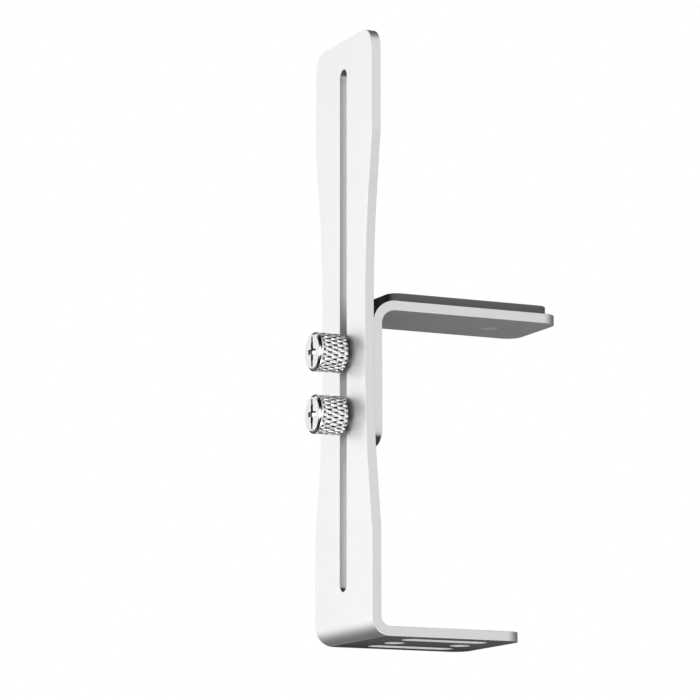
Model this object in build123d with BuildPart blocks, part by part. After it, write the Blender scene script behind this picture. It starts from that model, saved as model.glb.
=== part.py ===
"""Graphics card support bracket: a slotted post on a foot, with a padded shelf clamped by thumb screws.

Millimetres, +Z up. The origin is the middle of the foot's hole pattern, on the face that stands on the case.
The post's front faces -X, and the foot and the shelf reach towards +X.
"""
import os

from build123d import *

# Folded sheets
sheet = 2.5                    # thickness of the upright and of the support arm
edge_break = 0.06              # small bevel along their outer edges
corner_radius = 4.0            # free corners of the foot, the shelf and the leg

# Upright
post_height = 155.0
post_width = 34.0
top_corner_radius = 5.0
waist_width = 25.8
wide_zone = 27.0               # full width, from either end of the post to the start of a taper
waist_zone = 44.0              # narrowest stretch, half way up
waist_blend = 190.0            # radius where a taper runs into the waist
slot_from_floor = 12.3
slot_from_top = 7.5
foot_length = 42.0             # from the post's front face to the end of the foot
foot_bend_inside = 2.5
foot_hole = 5.2
foot_hole_spacing = 18.5
foot_slot_length = 23.5
foot_slot_width = 5.0
foot_slot_spacing = 19.4

# Support arm, at the height where it is clamped
shelf_top = 85.4
shelf_length = 53.2            # from the post's back face
leg_length = 37.0              # from the shelf's top face
arm_width = 25.0
arm_bend_inside = 3.7
shelf_hole = 4.4
shelf_hole_from_end = 14.1

# Pad
pad_thickness = 2.35
pad_corner = 3.0
pad_side_margin = 1.4          # bare metal left along each side of the shelf
pad_end_margin = 2.2           # bare metal left at the end of the shelf
pad_overlap = 0.6              # how far it reaches over the start of the bend

# Thumb screws
shank = 3.9
shank_tail = 1.5               # shows behind the leg
tip_chamfer = 0.5
thread_clearance = 0.05        # round the shank in the leg's tapped holes
slot_clearance = 0.15          # round the shank in the post's slot
upper_screw_drop = 12.4        # below the shelf's top face
screw_spacing = 16.0
collar = 8.0
collar_length = 0.95
head = 10.0
head_length = 7.8
head_bevel = 0.7
knurl_land = 0.4               # plain ring between the knurl and the bevel
knurl_starts = 24
diamond_length = 3.4
groove_depth = 0.3
groove_run_out = 0.35          # how far a groove's cutter reaches past the metal
drive_slot_width = 0.9
drive_slot_length = 8.0
drive_slot_depth = 0.7
drive_cross_span = 4.6
drive_cross_width = 1.3
drive_cross_lip = 0.4          # depth at which its wings start to slope
drive_cross_depth = 1.6
drive_cross_floor_span = 2.0
drive_cross_floor_width = 0.7

# Places that follow from the sizes
foot_flat_start = sheet + foot_bend_inside
front_x = -(foot_flat_start + foot_length) / 2
back_x = front_x + sheet
foot_end_x = front_x + foot_length
shelf_end_x = back_x + shelf_length
shelf_flat_x = back_x + sheet + arm_bend_inside
leg_bottom = shelf_top - leg_length
upper_screw_z = shelf_top - upper_screw_drop
lower_screw_z = upper_screw_z - screw_spacing

os.makedirs("parts", exist_ok=True)


def rim_edges(folded):
    """Edges round the outside of a folded sheet, without the lines where its flats run into its bend."""
    rounds = folded.faces().filter_by(GeomType.CYLINDER)
    bends = rounds.filter_by(lambda face: face.axis_of_rotation.is_parallel(Axis.Y))
    bend_lines = bends.edges().filter_by(GeomType.LINE).filter_by(Axis.Y)
    skins = folded.faces().filter_by(lambda face: any(edge in bend_lines for edge in face.edges()))
    return skins.edges() - bend_lines


with BuildPart() as upright:
    # Post and foot are one strip with a single bend
    with BuildSketch(Plane.XZ):
        with BuildLine():
            FilletPolyline(
                (front_x, post_height),
                (front_x, 0),
                (foot_end_x, 0),
                radius=foot_flat_start,
            )
            offset(amount=sheet, side=Side.LEFT)
        make_face()
    extrude(amount=post_width / 2, both=True)

    # Flanks cut back to the waist
    with BuildSketch(Plane.YZ.offset(front_x)) as flanks:
        with BuildLine():
            Polyline(
                (post_width / 2, wide_zone),
                (waist_width / 2, (post_height - waist_zone) / 2),
                (waist_width / 2, (post_height + waist_zone) / 2),
                (post_width / 2, post_height - wide_zone),
                close=True,
            )
        make_face()
        fillet(flanks.vertices().group_by(Axis.X)[0], waist_blend)
        mirror(about=Plane.YZ)
    extrude(amount=sheet, mode=Mode.SUBTRACT)

    fillet(upright.edges().filter_by(Axis.X).group_by(Axis.Z)[-1], top_corner_radius)
    fillet(upright.edges().filter_by(Axis.Z).group_by(Axis.X)[-1], corner_radius)
    chamfer(rim_edges(upright), edge_break)

    # Adjusting slot of the post
    slot_length = post_height - slot_from_top - slot_from_floor
    with BuildSketch(Plane.YZ.offset(front_x)):
        with Locations((0, slot_from_floor + slot_length / 2)):
            SlotOverall(slot_length, shank + 2 * slot_clearance, rotation=90)
    extrude(amount=sheet, mode=Mode.SUBTRACT)

    # Screw holes and slots of the foot
    with BuildSketch(Plane.XY):
        with GridLocations(foot_hole_spacing, 0, 2, 1):
            Circle(foot_hole / 2)
        with GridLocations(0, foot_slot_spacing, 1, 2):
            SlotOverall(foot_slot_length, foot_slot_width)
    extrude(amount=sheet, mode=Mode.SUBTRACT)

upright.part.label = "upright"
export_step(upright.part, "parts/upright.step")


with BuildPart() as support_arm:
    # Leg and shelf are one strip with a single bend
    with BuildSketch(Plane.XZ):
        with BuildLine():
            FilletPolyline(
                (back_x, leg_bottom),
                (back_x, shelf_top),
                (shelf_end_x, shelf_top),
                radius=sheet + arm_bend_inside,
            )
            offset(amount=sheet, side=Side.RIGHT)
        make_face()
    extrude(amount=arm_width / 2, both=True)

    fillet(support_arm.edges().filter_by(Axis.X).group_by(Axis.Z)[0], corner_radius)
    fillet(support_arm.edges().filter_by(Axis.Z).group_by(Axis.X)[-1], corner_radius)
    chamfer(rim_edges(support_arm), edge_break)

    # Tapped holes for the thumb screws
    with BuildSketch(Plane.YZ.offset(back_x)):
        with Locations((0, upper_screw_z), (0, lower_screw_z)):
            Circle(shank / 2 + thread_clearance)
    extrude(amount=sheet, mode=Mode.SUBTRACT)

    # Small hole of the shelf, under the pad
    with BuildSketch(Plane.XY.offset(shelf_top)):
        with Locations((shelf_end_x - shelf_hole_from_end, 0)):
            Circle(shelf_hole / 2)
    extrude(amount=-sheet, mode=Mode.SUBTRACT)

support_arm.part.label = "support_arm"
export_step(support_arm.part, "parts/support_arm.step")


with BuildPart() as shelf_pad:
    pad_start_x = shelf_flat_x - pad_overlap
    pad_end_x = shelf_end_x - pad_end_margin
    pad_width = arm_width - 2 * pad_side_margin
    with BuildSketch(Plane.XY.offset(shelf_top)):
        with Locations(((pad_start_x + pad_end_x) / 2, 0)):
            RectangleRounded(pad_end_x - pad_start_x, pad_width, pad_corner)
    extrude(amount=pad_thickness)

shelf_pad.part.label = "shelf_pad"
export_step(shelf_pad.part, "parts/shelf_pad.step")


# One thumb screw on its own axis: the head points along +Z and the collar sits at Z = 0
collar_top = collar_length
head_top = collar_length + head_length
knurl_top = head_top - head_bevel - knurl_land

grooves = []
for left_handed in (False, True):
    with BuildPart() as groove:
        with BuildLine() as path:
            Helix(
                pitch=diamond_length * knurl_starts,
                height=knurl_top - collar_top + groove_run_out,
                radius=head / 2,
                center=(0, 0, collar_top - groove_run_out),
                lefthand=left_handed,
            )
        start = path.line @ 0
        with BuildSketch(Plane(start, x_dir=(1, 0, 0), z_dir=path.line % 0)):
            with BuildLine():
                Polyline(
                    (-groove_depth, 0),
                    (groove_run_out, groove_depth + groove_run_out),
                    (groove_run_out, -groove_depth - groove_run_out),
                    close=True,
                )
            make_face()
        sweep(is_frenet=True)
    grooves.append(groove.part)

with BuildPart() as thumb_screw:
    # Turned body
    with BuildSketch(Plane.XZ):
        with BuildLine():
            tail_z = -2 * sheet - shank_tail
            Polyline(
                (0, tail_z),
                (shank / 2 - tip_chamfer, tail_z),
                (shank / 2, tail_z + tip_chamfer),
                (shank / 2, 0),
                (collar / 2, 0),
                (collar / 2, collar_top),
                (head / 2, collar_top),
                (head / 2, head_top - head_bevel),
                (head / 2 - head_bevel, head_top),
                (0, head_top),
                close=True,
            )
        make_face()
    revolve(axis=Axis.Z)

    # Diamond knurl: right-handed grooves, then left-handed ones across them
    for hand in grooves:
        with PolarLocations(0, knurl_starts):
            add(hand, mode=Mode.SUBTRACT, clean=False)

    # Straight slot of the drive, with the round floor that a small saw leaves
    saw_radius = drive_slot_length ** 2 / (8 * drive_slot_depth) + drive_slot_depth / 2
    with BuildSketch(Plane.YZ):
        with Locations((0, head_top - drive_slot_depth + saw_radius)):
            Circle(saw_radius)
    extrude(amount=drive_slot_width / 2, both=True, mode=Mode.SUBTRACT, clean=False)

    # Cross recess in its middle: a straight lip, then wings that slope down to a small floor
    with BuildSketch(Plane.XY.offset(head_top)):
        Rectangle(drive_cross_span, drive_cross_width)
        Rectangle(drive_cross_width, drive_cross_span)
    extrude(amount=-drive_cross_lip, mode=Mode.SUBTRACT, clean=False)
    with BuildSketch(Plane.XY.offset(head_top - drive_cross_lip)):
        Rectangle(drive_cross_span, drive_cross_width)
        Rectangle(drive_cross_width, drive_cross_span)
    with BuildSketch(Plane.XY.offset(head_top - drive_cross_depth)):
        Rectangle(drive_cross_floor_span, drive_cross_floor_width)
        Rectangle(drive_cross_floor_width, drive_cross_floor_span)
    loft(ruled=True, mode=Mode.SUBTRACT, clean=False)

for label, height in (("upper_thumb_screw", upper_screw_z), ("lower_thumb_screw", lower_screw_z)):
    with BuildPart(Plane((front_x, 0, height), x_dir=(0, -1, 0), z_dir=(-1, 0, 0))) as placed_screw:
        add(thumb_screw.part, clean=False)
    placed_screw.part.label = label
    export_step(placed_screw.part, f"parts/{label}.step")
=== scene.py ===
"""Graphics card support bracket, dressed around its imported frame.

Metres, +Z up, the post's front towards -X.
"""
from math import cos, floor, pi, radians, sin

import bmesh
import bpy
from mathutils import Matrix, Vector


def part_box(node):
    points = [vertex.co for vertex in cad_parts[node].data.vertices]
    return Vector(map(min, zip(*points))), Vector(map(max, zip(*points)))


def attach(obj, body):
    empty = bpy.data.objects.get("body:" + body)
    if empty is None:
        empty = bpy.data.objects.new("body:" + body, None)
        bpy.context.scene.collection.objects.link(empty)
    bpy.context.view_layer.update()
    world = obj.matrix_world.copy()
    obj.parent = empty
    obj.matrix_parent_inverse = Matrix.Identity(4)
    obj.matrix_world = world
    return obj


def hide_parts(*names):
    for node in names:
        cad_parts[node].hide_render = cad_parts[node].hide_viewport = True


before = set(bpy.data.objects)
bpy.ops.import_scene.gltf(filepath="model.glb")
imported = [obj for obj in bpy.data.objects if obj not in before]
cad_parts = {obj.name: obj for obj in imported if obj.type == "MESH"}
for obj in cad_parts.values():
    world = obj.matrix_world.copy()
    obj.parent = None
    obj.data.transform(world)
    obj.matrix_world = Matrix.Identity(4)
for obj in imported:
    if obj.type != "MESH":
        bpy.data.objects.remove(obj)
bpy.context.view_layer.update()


# Upright: the waisted post and its foot, cut from one strip of 2.5 mm aluminium sheet and folded once.
# It is bead-blasted and clear anodised, which leaves an even pale satin skin. The cut edges keep a trace
# of the fine lines of the cutter under the blasting, so they are a little darker than the faces.
mm = 0.001
sheet = 2.5 * mm


class Wire:
    """A socket of a node tree, or the bare tree to start from. Arithmetic on a socket adds Math nodes."""

    def __init__(self, tree, socket=None):
        self.tree = tree
        self.socket = socket

    def node(self, kind, settings=None, inputs=None, output=0):
        """Adds a node: its settings are made first, then the values or wires of its inputs."""
        made = self.tree.nodes.new(kind)
        for name, value in (settings or {}).items():
            setattr(made, name, value)
        for key, value in (inputs or {}).items():
            if isinstance(value, Wire):
                self.tree.links.new(value.socket, made.inputs[key])
            else:
                made.inputs[key].default_value = value
        return Wire(self.tree, made.outputs[output] if made.outputs else None)

    def maths(self, operation, *values):
        return self.node("ShaderNodeMath", {"operation": operation}, dict(enumerate(values)))

    def vectors(self, operation, *values, output=0):
        settings = {"operation": operation}
        return self.node("ShaderNodeVectorMath", settings, dict(enumerate(values)), output)

    def __abs__(self):
        return self.maths("ABSOLUTE", self)

    def __add__(self, other):
        return self.maths("ADD", self, other)

    def __sub__(self, other):
        return self.maths("SUBTRACT", self, other)

    def __rsub__(self, other):
        return self.maths("SUBTRACT", other, self)

    def __mul__(self, other):
        return self.maths("MULTIPLY", self, other)

    def __truediv__(self, other):
        return self.maths("DIVIDE", self, other)

    def __rtruediv__(self, other):
        return self.maths("DIVIDE", other, self)

    __radd__ = __add__
    __rmul__ = __mul__


def blank_tree(owner):
    """The node tree of a material or a world, emptied."""
    owner.use_nodes = True
    owner.node_tree.nodes.clear()
    return Wire(owner.node_tree)


def axes(vector):
    """The X, Y and Z parts of a vector."""
    parts = vector.node("ShaderNodeSeparateXYZ", inputs={"Vector": vector}).socket.node
    return [Wire(vector.tree, part) for part in parts.outputs]


def noise(place, size, detail, seed):
    """Soft noise from 0 to 1, with features of about the given size."""
    return place.node(
        "ShaderNodeTexNoise",
        {"noise_dimensions": "4D"},
        {"Vector": place, "W": seed, "Scale": 1 / size, "Detail": detail, "Roughness": 0.55},
    )


def step(value, low, high):
    """0 below low, 1 above high, and a smooth rise between them."""
    return value.node(
        "ShaderNodeMapRange",
        {"interpolation_type": "SMOOTHSTEP"},
        {"Value": value, "From Min": low, "From Max": high},
    )


def near(place, centre, reach, fade):
    """1 inside a box given by its centre and its reach along each axis, fading to 0 across its walls."""
    inside = 1.0
    for away, limit in zip(axes(place.vectors("SUBTRACT", place, centre)), reach):
        inside = inside * (1 - step(abs(away), limit - fade, limit + fade))
    return inside


def blend_colour(mask, first, second):
    """The first colour where the mask is 0, the second where it is 1."""
    # 6, 7 and 2 are the node's colour sockets, after those for numbers and vectors
    return mask.node("ShaderNodeMix", {"data_type": "RGBA"}, {0: mask, 6: first, 7: second}, output=2)


def grey(level, blue=0.0):
    """An opaque grey that leans to blue by a small share."""
    return (level * (1 - blue), level, level * (1 + blue), 1.0)


metal_blue = 0.004
skin_tones = (grey(0.865, metal_blue), grey(0.9, metal_blue))
edge_tones = (grey(0.8, metal_blue), grey(0.86, metal_blue))
# Underside of the foot: worn grey tones that are also painted shade, and a near black far side that is
# painted shade
worn_and_shaded_tones = (grey(0.24, metal_blue), grey(0.34, metal_blue))
far_shaded_tone = grey(0.12, metal_blue)
# Painted light: the cut walls of the holes in the foot are drawn pale and non-metallic
painted_light_wall_tone = grey(0.77)
dent_size = 0.11 * mm                      # left by the blasting beads
dent_depth = 0.012 * mm
cloud_size = 6 * mm                        # slow change of tone over the skin
cutter_line_gap = 0.3 * mm
cutter_line_stretch = (0.12, 1.0, 1.0)     # the lines run along X
cutter_line_height = 0.6                   # next to the dents
satin_roughness = 0.4
uneven_roughness = 0.06                    # added by the clouds, and by the cut edges
cut_edge_turn = (0.85, 0.97)               # how much of a normal lies along Y where a cut edge starts
level_turn = (0.2, 0.5)                    # how much lies along Z where a level face starts
underside_height = (0.02 * mm, 0.1 * mm)
far_shade_fade = (-4 * mm, 14 * mm)         # across the foot


def satin_aluminium(name, seed, scuffs_and_shade=0.0, painted_light_holes=None, painted_shade=()):
    """Blasted and anodised sheet: the seed sets its grain apart, and the scuff weight darkens the face it
    stands on, partly as wear and partly as painted shade.

    A box is a centre, a reach and a fade. Cut walls in the box of holes are painted pale and non-metallic
    as painted light, and the list after it holds painted shade in corners and slot ends, each a box and a
    grey level.
    """
    material = bpy.data.materials.new(name)
    tree = blank_tree(material)
    place = tree.node("ShaderNodeTexCoord", output="Object")
    _, sideways, height = axes(place)
    _, across, upward = axes(tree.node("ShaderNodeNewGeometry", output="Normal"))
    cut_edge = step(abs(across), *cut_edge_turn)
    level_face = step(abs(upward), *level_turn)
    painted_light_wall = near(place, *painted_light_holes) * (1 - level_face) if painted_light_holes else 0.0
    stood_on = scuffs_and_shade * (1 - step(height, *underside_height)) * level_face

    dents = noise(place, dent_size, 3.0, seed)
    clouds = noise(place, cloud_size, 3.0, seed + 1)
    stretched = place.vectors("MULTIPLY", place, cutter_line_stretch)
    cutter_lines = noise(stretched, cutter_line_gap, 2.0, seed + 2)

    skin = blend_colour(clouds, *skin_tones)
    edge = blend_colour(cutter_lines, *edge_tones)
    # The underside is worn and carries painted shade, which deepens across the foot to its far side
    worn_and_shaded = blend_colour(step(sideways, *far_shade_fade), blend_colour(clouds, *worn_and_shaded_tones), far_shaded_tone)
    colour = blend_colour(stood_on, blend_colour(cut_edge, skin, edge), worn_and_shaded)
    if painted_light_holes:
        colour = blend_colour(painted_light_wall, colour, painted_light_wall_tone)
    # Painted shade: each box darkens its corner or recess to its grey level, but not the cut edges
    for box, level in painted_shade:
        colour = blend_colour(near(place, *box) * (1 - cut_edge), colour, grey(level))
    relief = dents + cut_edge * cutter_lines * cutter_line_height
    bump = tree.node(
        "ShaderNodeBump", inputs={"Strength": 0.22, "Distance": dent_depth, "Height": relief}
    )
    shader = tree.node(
        "ShaderNodeBsdfPrincipled",
        inputs={
            "Base Color": colour,
            "Metallic": 1 - painted_light_wall,
            "Roughness": satin_roughness + uneven_roughness * clouds + uneven_roughness * cut_edge,
            "Normal": bump,
        },
    )
    tree.node("ShaderNodeOutputMaterial", inputs={"Surface": shader})
    return material


def dress(node, material):
    """Gives a CAD node its one material."""
    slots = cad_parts[node].data.materials
    slots.clear()
    slots.append(material)


post_low, post_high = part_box("upright")
box_fade = 0.1 * mm
wall_reach = 1.14 * mm         # a little less than half the sheet, which keeps its two faces clean
# Box round the foot's holes, whose cut walls get the painted light
foot_hole_light = ((0.0, 0.0, 0.0), (13 * mm, 13 * mm, 2.7 * mm), box_fade)
slot_end_reach = (wall_reach, 2.4 * mm, 1.7 * mm)
# Painted shade in the lower and upper ends of the post's slot: their round end walls are drawn dark grey,
# the lower one darker
slot_end_shade = []
for height, level in ((post_low.z + 12.1 * mm, 0.08), (post_high.z - 7.7 * mm, 0.2)):
    slot_end = Vector((post_low.x + sheet / 2, 0.0, height))
    slot_end_shade.append(((slot_end, slot_end_reach, box_fade), level))
dress("upright", satin_aluminium(
    "upright_satin_aluminium", 3.0, scuffs_and_shade=1.0, painted_light_holes=foot_hole_light, painted_shade=slot_end_shade
))


# Support arm: a second strip of the same sheet, folded into a leg and a shelf and finished the same way.
# The leg lies flat on the back of the post and has the two tapped holes that the thumb screws pull on.
arm_low, arm_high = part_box("support_arm")
arm_reach = 13 * mm            # across, a little more than half the arm's width
# Painted shade on the arm: near black on the outer bend in the gap behind the post, dark grey on the lower
# end of the leg
bend_middle = Vector((arm_low.x + 1.6 * mm, 0.0, arm_high.z - 3.2 * mm))
shade_behind_post = (bend_middle, (2.6 * mm, arm_reach, 3.9 * mm), 0.8 * mm)
leg_end = Vector((arm_low.x + sheet / 2, 0.0, arm_low.z))
shade_under_leg = (leg_end, (wall_reach, arm_reach, 4 * mm), box_fade)
dress("support_arm", satin_aluminium(
    "arm_satin_aluminium", 17.0, painted_shade=[(shade_behind_post, 0.06), (shade_under_leg, 0.1)]
))


# Shelf pad: a strip of dark closed-cell rubber, die-cut with round corners and stuck to the shelf.
# The card rests on it, so its upper edge is soft and its top is very slightly crowned.
pad_corner = 3.0 * mm
least_corner = 0.15 * mm       # of the innermost rings
pad_soft_edge = 0.2 * mm
pad_foot_inset = 0.06 * mm
pad_crown = 0.03 * mm
crown_shares = (0.1, 0.25, 0.45, 0.7, 0.9)
crown_ridge = 0.3 * mm         # half the width that is left flat along the middle
corner_steps = 10
soft_edge_steps = 6


def pad_ring(shape, low, high, inset, height):
    """One closed ring of vertices: the pad's outline drawn in by an inset."""
    radius = max(pad_corner - inset, least_corner)
    reach_x = (high.x - low.x) / 2 - inset - radius
    reach_y = (high.y - low.y) / 2 - inset - radius
    centre = (low + high) / 2
    ring = []
    for quarter, (side_x, side_y) in enumerate(((1, 1), (-1, 1), (-1, -1), (1, -1))):
        for stop in range(corner_steps + 1):
            angle = (quarter + stop / corner_steps) * pi / 2
            x = centre.x + side_x * reach_x + radius * cos(angle)
            y = centre.y + side_y * reach_y + radius * sin(angle)
            ring.append(shape.verts.new((x, y, height)))
    return ring


def join_rings(shape, rings):
    """Skins a row of rings of equal count and closes both ends."""
    for lower, upper in zip(rings, rings[1:]):
        for index in range(len(lower)):
            after = (index + 1) % len(lower)
            shape.faces.new((lower[index], lower[after], upper[after], upper[index]))
    shape.faces.new(rings[0])
    shape.faces.new(rings[-1])


def plain_object(name, shape, sharp_angle):
    """Turns a bmesh into an object at the origin, smooth but for its sharp edges."""
    mesh = bpy.data.meshes.new(name)
    bmesh.ops.recalc_face_normals(shape, faces=shape.faces)
    shape.to_mesh(mesh)
    shape.free()
    mesh.shade_smooth()
    mesh.set_sharp_from_angle(angle=sharp_angle)
    made = bpy.data.objects.new(name, mesh)
    bpy.context.scene.collection.objects.link(made)
    return made


pad_low, pad_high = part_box("shelf_pad")
pad_shape = bmesh.new()
pad_levels = [(pad_foot_inset, pad_low.z), (0.0, pad_low.z + 3 * pad_foot_inset)]
rim_height = pad_high.z - pad_crown
for stop in range(soft_edge_steps + 1):
    angle = stop / soft_edge_steps * pi / 2
    pad_levels.append(
        (pad_soft_edge * (1 - cos(angle)), rim_height - pad_soft_edge * (1 - sin(angle)))
    )
for share in crown_shares:
    inset = pad_soft_edge + share * ((pad_high.y - pad_low.y) / 2 - pad_soft_edge - crown_ridge)
    pad_levels.append((inset, rim_height + pad_crown * (1 - (1 - share) ** 2)))
join_rings(
    pad_shape,
    [pad_ring(pad_shape, pad_low, pad_high, inset, height) for inset, height in pad_levels],
)
pad = plain_object("rubber_pad", pad_shape, sharp_angle=radians(50))

rubber_blue = 0.01
rubber_tones = (grey(0.11, rubber_blue), grey(0.14, rubber_blue))
# Painted shade: the pad's end by the post is drawn near black
post_end_shade_tone = grey(0.025, rubber_blue)
shaded_post_end_turn = (-0.98, -0.7)  # how much of a normal lies along X on the end by the post
cell_size = 0.45 * mm
pore_reach = (0.15, 0.6)       # from the middle of a cell, as shares of its size
pore_depth = 0.05 * mm
dust_size = 0.9 * mm
patch_size = 7 * mm
rubber_roughness = 0.68
dust_roughness = 0.14
pore_polish = 0.05
pad_rubber = bpy.data.materials.new("pad_rubber_skin")
tree = blank_tree(pad_rubber)
place = tree.node("ShaderNodeTexCoord", output="Object")
cells = place.node("ShaderNodeTexVoronoi", {"feature": "F1"}, {"Vector": place, "Scale": 1 / cell_size})
dust = noise(place, dust_size, 4.0, seed=5.0)
patches = noise(place, patch_size, 2.0, seed=6.0)
pores = 1 - step(cells, *pore_reach)
endwise, _, _ = axes(tree.node("ShaderNodeNewGeometry", output="Normal"))
shaded_post_end = 1 - step(endwise, *shaded_post_end_turn)
aged = blend_colour(0.5 * patches + 0.5 * dust, *rubber_tones)
bump = tree.node(
    "ShaderNodeBump",
    inputs={"Strength": 0.5, "Distance": pore_depth, "Height": cells + 0.5 * dust},
)
shader = tree.node(
    "ShaderNodeBsdfPrincipled",
    inputs={
        "Base Color": blend_colour(shaded_post_end, aged, post_end_shade_tone),
        "Roughness": rubber_roughness + dust_roughness * dust - pore_polish * pores,
        "Specular IOR Level": 0.35,
        "Normal": bump,
    },
)
tree.node("ShaderNodeOutputMaterial", inputs={"Surface": shader})
pad.data.materials.append(pad_rubber)
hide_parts("shelf_pad")
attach(pad, "arm")


# Thumb screws: two M4 screws turned from steel bar, with a diamond knurl rolled round the head and a
# straight and a cross drive cut in its end, then bright plated. Each passes through the post's slot from
# the front and pulls the leg against its back. On the X axis the collar sits at 0, the head towards -X.
collar_radius = 4.0 * mm
collar_end = 0.95 * mm
head_radius = 5.0 * mm
head_end = 8.75 * mm
head_bevel = 0.7 * mm
knurl_land = 0.4 * mm
knurl_end = head_end - head_bevel - knurl_land
knurl_core = 4.3 * mm
groove_depth = 0.3 * mm
groove_share = 4 / 12          # half a groove's width, as a share of the distance to the next groove
knurl_flutes = 24
diamond_length = 3.4 * mm
flute_steps = 12
thread_crest = 1.95 * mm
thread_root = 1.56 * mm
thread_pitch = 0.7 * mm
thread_start = 0.3 * mm        # behind the collar
thread_steps = 40              # a turn
tail_end = 6.5 * mm
tip_chamfer = 0.45 * mm
slot_width = 0.9 * mm
slot_length = 8.0 * mm
slot_depth = 0.7 * mm
cross_span = 4.6 * mm
cross_width = 1.3 * mm
cross_lip = 0.4 * mm
cross_depth = 1.6 * mm
cross_floor_span = 2.0 * mm
cross_floor_width = 0.7 * mm
cutter_overshoot = 0.3 * mm    # how far the drive's cutters stand out of the head
saw_steps = 24
small_break = 0.08 * mm
turned_steps = 96
weld_distance = 0.0005 * mm

# Turned body: (distance out from the post's face, radius), with each outer corner broken
body_profile = [
    (-tail_end, thread_root - tip_chamfer),
    (-tail_end + tip_chamfer, thread_root),
    (0.0, thread_root),
    (0.0, collar_radius - small_break),
    (small_break, collar_radius),
    (collar_end + small_break, collar_radius),
    (collar_end + small_break, knurl_core + small_break),
    (knurl_end - small_break, knurl_core + small_break),
    (knurl_end - small_break, head_radius - groove_depth),
    (knurl_end, head_radius - small_break),
    (knurl_end + small_break, head_radius),
    (head_end - head_bevel - small_break / 2, head_radius),
    (head_end - head_bevel + small_break / 2, head_radius - small_break / 2),
    (head_end - small_break / 2, head_radius - head_bevel + small_break / 2),
    (head_end, head_radius - head_bevel - small_break / 2),
]
body_shape = bmesh.new()
body_rings = []
for out, radius in body_profile:
    body_rings.append([
        body_shape.verts.new((-out, radius * cos(turn), radius * sin(turn)))
        for turn in (2 * pi * stop / turned_steps for stop in range(turned_steps))
    ])
join_rings(body_shape, body_rings)
turned_body = plain_object("turned_body", body_shape, sharp_angle=radians(25))


def cutter(name, outlines):
    """A closed tool skinned from one outline to the next, each a list of points."""
    shape = bmesh.new()
    join_rings(shape, [[shape.verts.new(point) for point in outline] for outline in outlines])
    return plain_object(name, shape, sharp_angle=0.0)


saw_radius = slot_length ** 2 / (8 * slot_depth) + slot_depth / 2
saw_cut = slot_depth + cutter_overshoot
saw_reach = (2 * saw_radius * saw_cut - saw_cut ** 2) ** 0.5
saw_arc = []
for stop in range(saw_steps + 1):
    height = saw_reach * (2 * stop / saw_steps - 1)
    saw_arc.append((head_end - slot_depth + saw_radius - (saw_radius ** 2 - height ** 2) ** 0.5, height))
slot_tool = cutter("slot_tool", [
    [(-out, side * slot_width / 2, height) for out, height in saw_arc] for side in (-1, 1)
])
cross_outlines = []
for out, span, width in (
    (head_end + cutter_overshoot, cross_span, cross_width),
    (head_end - cross_lip, cross_span, cross_width),
    (head_end - cross_depth, cross_floor_span, cross_floor_width),
):
    long, short = span / 2, width / 2
    outline = []
    for turn in range(4):
        for y, z in ((long, short), (short, short), (short, long)):
            for _ in range(turn):
                y, z = -z, y
            outline.append((-out, y, z))
    cross_outlines.append(outline)
tools = [slot_tool, cutter("cross_tool", cross_outlines)]
for tool in tools:
    cut = turned_body.modifiers.new(tool.name, "BOOLEAN")
    cut.operation = "DIFFERENCE"
    cut.solver = "EXACT"
    cut.object = tool

# One flute of the knurl, a twenty-fourth of the ring: two families of V grooves cross it
# and add up to pits where they meet
flute_shape = bmesh.new()


def groove(count):
    """Depth of a groove family where it counts a whole number at each of its grooves."""
    off = abs(count - floor(count + 0.5))
    return groove_depth / 2 * max(0.0, 1 - off / groove_share)


def knurl_radius(turn, down):
    """Radius of the knurl at a share of a flute, and at a distance down from the land."""
    return head_radius - groove(turn + down / diamond_length) - groove(turn - down / diamond_length)


def flute_vertex(turn, down, radius):
    """A vertex of the flute at the same two places, and at a radius."""
    angle = turn * 2 * pi / knurl_flutes
    return flute_shape.verts.new((down - knurl_end, radius * cos(angle), radius * sin(angle)))


row_height = diamond_length / flute_steps
rows = [0.0]
while rows[-1] < knurl_end - collar_end:
    rows.append(min(rows[-1] + row_height, knurl_end - collar_end))
columns = [stop / flute_steps for stop in range(flute_steps + 1)]
inner_near = [flute_vertex(turn, 0.0, knurl_core) for turn in columns]
inner_far = [flute_vertex(turn, rows[-1], knurl_core) for turn in columns]
outer = [[flute_vertex(turn, down, knurl_radius(turn, down)) for turn in columns] for down in rows]
for index in range(flute_steps):
    middle_turn = (columns[index] + columns[index + 1]) / 2
    for row in range(len(rows) - 1):
        # Each square is split along the diagonal that keeps to a groove or a crest
        corners = (
            outer[row][index], outer[row][index + 1], outer[row + 1][index + 1], outer[row + 1][index]
        )
        heights = [
            knurl_radius(columns[index + side], rows[row + down])
            for side, down in ((0, 0), (1, 0), (1, 1), (0, 1))
        ]
        middle = knurl_radius(middle_turn, (rows[row] + rows[row + 1]) / 2)
        falling = abs(heights[0] + heights[2] - 2 * middle)
        rising = abs(heights[1] + heights[3] - 2 * middle)
        first, second = ((0, 1, 2), (0, 2, 3)) if falling <= rising else ((0, 1, 3), (1, 2, 3))
        for triangle in (first, second):
            flute_shape.faces.new([corners[corner] for corner in triangle])
    for one, other in ((inner_near, outer[0]), (outer[-1], inner_far), (inner_far, inner_near)):
        flute_shape.faces.new((one[index], one[index + 1], other[index + 1], other[index]))
knurl_flute = plain_object("knurl_flute", flute_shape, sharp_angle=radians(20))

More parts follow.
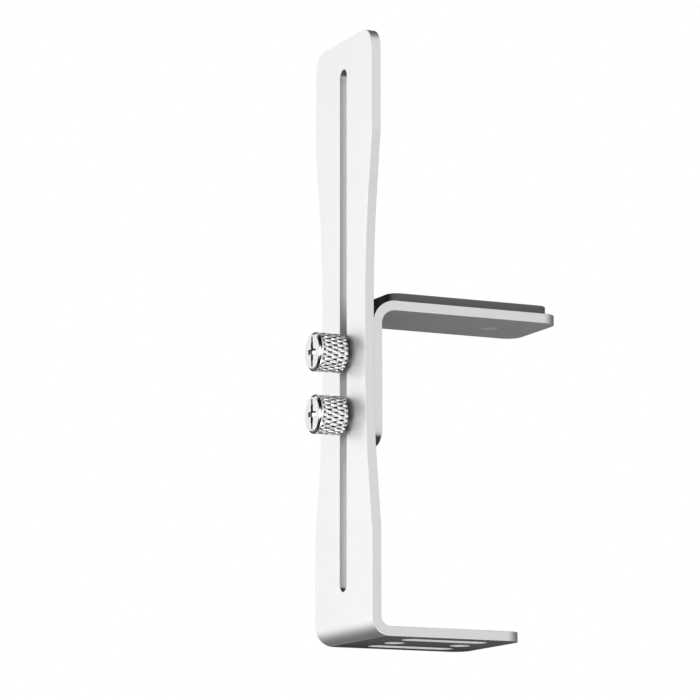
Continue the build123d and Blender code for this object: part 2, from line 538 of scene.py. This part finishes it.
# The whole screw: the body, the flutes set round it, and a thread ridge that follows a spiral
screw_tree = bpy.data.node_groups.new("knurled_thumb_screw", "GeometryNodeTree")
for name, kind in (
    ("Turned body", "NodeSocketObject"),
    ("Knurl flute", "NodeSocketObject"),
    ("Flutes", "NodeSocketInt"),
    ("Thread pitch", "NodeSocketFloat"),
    ("Thread crest", "NodeSocketFloat"),
    ("Thread length", "NodeSocketFloat"),
    ("Place", "NodeSocketVector"),
    ("Finish", "NodeSocketMaterial"),
):
    screw_tree.interface.new_socket(name, in_out="INPUT", socket_type=kind)
screw_tree.interface.new_socket("Screw", in_out="OUTPUT", socket_type="NodeSocketGeometry")
tree = Wire(screw_tree)
asked = tree.node("NodeGroupInput").socket.node


def asked_for(name):
    """An input of the screw's tree."""
    return Wire(screw_tree, asked.outputs[name])


turn_step = 2 * pi / asked_for("Flutes")
flute_turn = tree.node("GeometryNodeInputIndex") * turn_step
flutes = tree.node(
    "GeometryNodeInstanceOnPoints",
    inputs={
        "Points": tree.node(
            "GeometryNodeMeshLine", inputs={"Count": asked_for("Flutes"), "Offset": (0.0, 0.0, 0.0)}
        ),
        "Instance": tree.node(
            "GeometryNodeObjectInfo", inputs={"Object": asked_for("Knurl flute")}, output="Geometry"
        ),
        "Rotation": tree.node("ShaderNodeCombineXYZ", inputs={"X": flute_turn}),
    },
)
ridge = asked_for("Thread pitch") * 0.5
ridge_radius = asked_for("Thread crest") - ridge
spiral = tree.node(
    "GeometryNodeCurveSpiral",
    inputs={
        "Resolution": thread_steps,
        "Rotations": asked_for("Thread length") / asked_for("Thread pitch"),
        "Start Radius": ridge_radius,
        "End Radius": ridge_radius,
        "Height": asked_for("Thread length"),
    },
)
thread = tree.node(
    "GeometryNodeCurveToMesh",
    inputs={
        "Curve": tree.node("GeometryNodeSetCurveNormal", {"mode": "Z_UP"}, {"Curve": spiral}),
        "Profile Curve": tree.node(
            "GeometryNodeCurvePrimitiveCircle", inputs={"Resolution": 3, "Radius": ridge}
        ),
        "Fill Caps": True,
    },
)
laid_thread = tree.node(
    "GeometryNodeTransform",
    inputs={"Geometry": thread, "Translation": (thread_start, 0.0, 0.0), "Rotation": (0.0, pi / 2, 0.0)},
)
joined = tree.node("GeometryNodeJoinGeometry", inputs={"Geometry": flutes})
body_geometry = tree.node(
    "GeometryNodeObjectInfo", inputs={"Object": asked_for("Turned body")}, output="Geometry"
)
for more in (body_geometry, laid_thread):
    screw_tree.links.new(more.socket, joined.socket.node.inputs["Geometry"])
placed = tree.node(
    "GeometryNodeTransform", inputs={"Geometry": joined, "Translation": asked_for("Place")}
)
whole = tree.node("GeometryNodeRealizeInstances", inputs={"Geometry": placed})
plated = tree.node(
    "GeometryNodeSetMaterial", inputs={"Geometry": whole, "Material": asked_for("Finish")}
)
tree.node("NodeGroupOutput", inputs={"Screw": plated})

plating_tone = grey(0.92, metal_blue)
# Painted shade: the knurl's pits are drawn near black
pit_shade_tone = grey(0.02, metal_blue)
# Painted shade: the collar, in the shadow of the head, is drawn dark grey
collar_shade_tone = grey(0.12, metal_blue)
# Painted shade on the walls of the cross and straight drive, down to the drive's floor
cross_shade_tone = grey(0.05, metal_blue)
slot_shade_tone = grey(0.3, metal_blue)
ring_gap = 0.12 * mm           # between the marks of turning
ring_depth = 0.006 * mm
smear_size = 1.6 * mm
crest_dullness = 0.4           # share of the crests' mirror shine that the rolling took off
pit_shade_top = (0.58, 0.38)       # shares of a groove's depth, the deeper one first
knurl_floor = (1.2, 1.05)
crest_foot = (0.3, 0.1)
finish_fade = 0.1 * mm         # over which one finish runs into the next
end_face = (0.01 * mm, 0.03 * mm)
drive_start = (0.03 * mm, 0.1 * mm)
drive_floor = (2 * cross_lip, 3 * cross_lip)


def bright_plating(name, axis_height):
    """Bright nickel plating, dull on the collar; painted shade darkens the collar, drive and knurl's pits.
    """
    material = bpy.data.materials.new(name)
    tree = blank_tree(material)
    place = tree.node("ShaderNodeTexCoord", output="Object")
    from_end = place.vectors("SUBTRACT", place, (post_low.x - head_end, 0.0, axis_height))
    flat = from_end.vectors("MULTIPLY", from_end, (0.0, 1.0, 1.0))
    radius = flat.vectors("LENGTH", flat, output="Value")
    depth, _, _ = axes(from_end)
    ring_place = radius.node("ShaderNodeCombineXYZ", inputs={"X": radius, "Y": depth})
    rings = noise(ring_place, ring_gap, 2.0, seed=9.0)
    smears = noise(place, smear_size, 3.0, seed=11.0)

    def outside(deeper, shallower):
        """0 down at the deeper share of a groove's depth, 1 from the shallower one outwards."""
        return step(radius, head_radius - deeper * groove_depth, head_radius - shallower * groove_depth)

    knurl_start = head_bevel + knurl_land
    collar_start = head_end - collar_end
    # Painted shade down in the knurl's grooves
    pit_shade = (1 - outside(*pit_shade_top)) * outside(*knurl_floor)
    on_crest = outside(*crest_foot) * step(depth, knurl_start, knurl_start + finish_fade / 2)
    past_collar = step(depth, head_end, head_end + 2 * finish_fade)
    on_collar = step(depth, collar_start - finish_fade, collar_start) * (1 - past_collar)
    on_end = 1 - step(depth, *end_face)
    in_lip = step(depth, *drive_start) * (1 - step(depth, *drive_floor))
    in_drive = in_lip * (1 - step(radius, slot_length / 2, slot_length / 2 + finish_fade))
    past_cross = step(radius, cross_span / 2, cross_span / 2 + 2 * finish_fade)
    pit_shaded_plating = blend_colour(pit_shade, plating_tone, pit_shade_tone)
    # Painted shade on the collar
    collar_shaded = blend_colour(on_collar, pit_shaded_plating, collar_shade_tone)
    # Painted shade in the drive: darkest in the cross, lighter in the straight slot beyond it
    drive = blend_colour(past_cross, cross_shade_tone, slot_shade_tone)
    bump = tree.node(
        "ShaderNodeBump", inputs={"Strength": 0.12, "Distance": ring_depth, "Height": rings}
    )
    shader = tree.node(
        "ShaderNodeBsdfPrincipled",
        inputs={
            "Base Color": blend_colour(in_drive, collar_shaded, drive),
            "Metallic": 1 - crest_dullness * on_crest,
            "Roughness": 0.1 + 0.06 * smears + 0.04 * rings + 0.17 * on_end + 0.2 * on_collar,
            "Normal": bump,
        },
    )
    tree.node("ShaderNodeOutputMaterial", inputs={"Surface": shader})
    return material


for node, body in (("upper_thumb_screw", "upper_screw"), ("lower_thumb_screw", "lower_screw")):
    low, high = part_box(node)
    axis_height = (low.z + high.z) / 2
    screw = bpy.data.objects.new("knurled_" + node, bpy.data.meshes.new("knurled_" + node))
    bpy.context.scene.collection.objects.link(screw)
    made = screw.modifiers.new("screw", "NODES")
    made.node_group = screw_tree
    wanted = {
        "Turned body": turned_body,
        "Knurl flute": knurl_flute,
        "Flutes": knurl_flutes,
        "Thread pitch": thread_pitch,
        "Thread crest": thread_crest,
        "Thread length": tail_end - tip_chamfer - thread_start,
        "Place": Vector((post_low.x, 0.0, axis_height)),
        "Finish": bright_plating(node + "_plating", axis_height),
    }
    for item in screw_tree.interface.items_tree:
        if item.in_out == "INPUT":
            made[item.identifier] = wanted[item.name]
    evaluated = screw.evaluated_get(bpy.context.evaluated_depsgraph_get())
    mesh = bpy.data.meshes.new_from_object(evaluated)
    screw.modifiers.clear()
    screw.data = mesh
    cleaned = bmesh.new()
    cleaned.from_mesh(mesh)
    bmesh.ops.remove_doubles(cleaned, verts=cleaned.verts, dist=weld_distance)
    bmesh.ops.recalc_face_normals(cleaned, faces=cleaned.faces)
    cleaned.to_mesh(mesh)
    cleaned.free()
    mesh.shade_smooth()
    mesh.set_sharp_from_angle(angle=radians(18))
    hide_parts(node)
    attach(screw, body)
for scrap in [turned_body, knurl_flute] + tools:
    bpy.data.objects.remove(scrap)


# Studio: a pale floor that shows only from above, because the photograph looks up at the foot's underside,
# and a dark room with round soft lights, which give the metal its bright faces and dark bends.
# The camera stands low and to the left of the post's front, with a long lens.
floor_reach = 1.2
floor_drop = 0.05 * mm
speckle_size = 4 * mm
paper_tones = (grey(0.88), grey(0.92))
floor_shape = bmesh.new()
floor_corners = ((-1, -1), (1, -1), (1, 1), (-1, 1))
floor_shape.faces.new([
    floor_shape.verts.new((x * floor_reach, y * floor_reach, -floor_drop)) for x, y in floor_corners
])
floor_mesh = bpy.data.meshes.new("studio_floor")
floor_shape.to_mesh(floor_mesh)
floor_shape.free()
studio_floor = bpy.data.objects.new("studio_floor", floor_mesh)
bpy.context.scene.collection.objects.link(studio_floor)
studio_floor.visible_diffuse = False
studio_floor.visible_glossy = False
studio_floor.visible_shadow = False
paint = bpy.data.materials.new("floor_paint")
tree = blank_tree(paint)
place = tree.node("ShaderNodeTexCoord", output="Object")
speckle = noise(place, speckle_size, 3.0, seed=21.0)
paper = tree.node(
    "ShaderNodeBsdfPrincipled",
    inputs={
        "Base Color": blend_colour(speckle, *paper_tones),
        "Roughness": 0.9,
        "Emission Color": grey(1.0),
        "Emission Strength": 0.35,
    },
)
underside = tree.node("ShaderNodeNewGeometry", output="Backfacing")
one_way = tree.node(
    "ShaderNodeMixShader",
    inputs={0: underside, 1: paper, 2: tree.node("ShaderNodeBsdfTransparent")},
)
tree.node("ShaderNodeOutputMaterial", inputs={"Surface": one_way})
floor_mesh.materials.append(paint)

studio = bpy.data.worlds.new("studio")
bpy.context.scene.world = studio
tree = blank_tree(studio)
towards = tree.node("ShaderNodeTexCoord", output="Generated")
room_light = 0.015
for compass, lift, sharpness, strength in (
    (135, 12, 26, 3.3),     # key box behind and to the left, which the post's front mirrors
    (139, -17, 26, 3.9),    # its lower half, for the bend of the foot
    (-78, 9, 9, 1.58),      # box beside the camera, for the edges that face it
    (-32, 10, 24, 0.3),     # its right end, for the round corners of the shelf and the foot
    (-72, -26, 12, 0.5),    # its lower end, for the lower half of the knurl
    (35, 5, 6, 0.08),       # faint fill behind the post
    (-5, -38, 8, 0.9),      # bounce of the floor behind, for the back of the post
    (-155, 0, 36, 6.0),     # narrow box on the left, for the screws' bevels
    (62, -23, 26, 0.15),    # faint glow low down at the back, for the undersides
    (105, -22, 26, 0.3),    # weak light between that and the key box, for the middle of the bend
    (-92, 50, 22, 4.3),     # high box over the camera, for the upper half of the knurl
    (-122, -56, 24, 7.2),   # reflector on the ground before the post, for the lowest rows of the knurl
    (118, 50, 40, 1.5),     # high spot at the back, for the top of the bevels
):
    flat = cos(radians(lift))
    axis = (flat * cos(radians(compass)), flat * sin(radians(compass)), sin(radians(lift)))
    closeness = towards.vectors("DOT_PRODUCT", towards, axis, output="Value")
    room_light = room_light + strength * closeness.maths("EXPONENT", sharpness * (closeness - 1))
light = tree.node("ShaderNodeBackground", inputs={"Strength": room_light})
white = tree.node("ShaderNodeBackground", inputs={"Color": grey(1.0)})
seen = tree.node("ShaderNodeLightPath", output="Is Camera Ray")
backdrop = tree.node("ShaderNodeMixShader", inputs={0: seen, 1: light, 2: white})
tree.node("ShaderNodeOutputWorld", inputs={"Surface": backdrop})

picture_width = 700
focal_pixels = 3481.3
lens = bpy.data.cameras.new("camera")
lens.sensor_width = 36.0
lens.lens = lens.sensor_width * focal_pixels / picture_width
camera = bpy.data.objects.new("camera", lens)
camera.location = (-0.39056, -0.79106, -0.07901)
camera.rotation_euler = (radians(99.954), 0.0, radians(-25.004))
bpy.context.scene.collection.objects.link(camera)
bpy.context.scene.camera = camera
bpy.context.scene.view_settings.view_transform = "Standard"
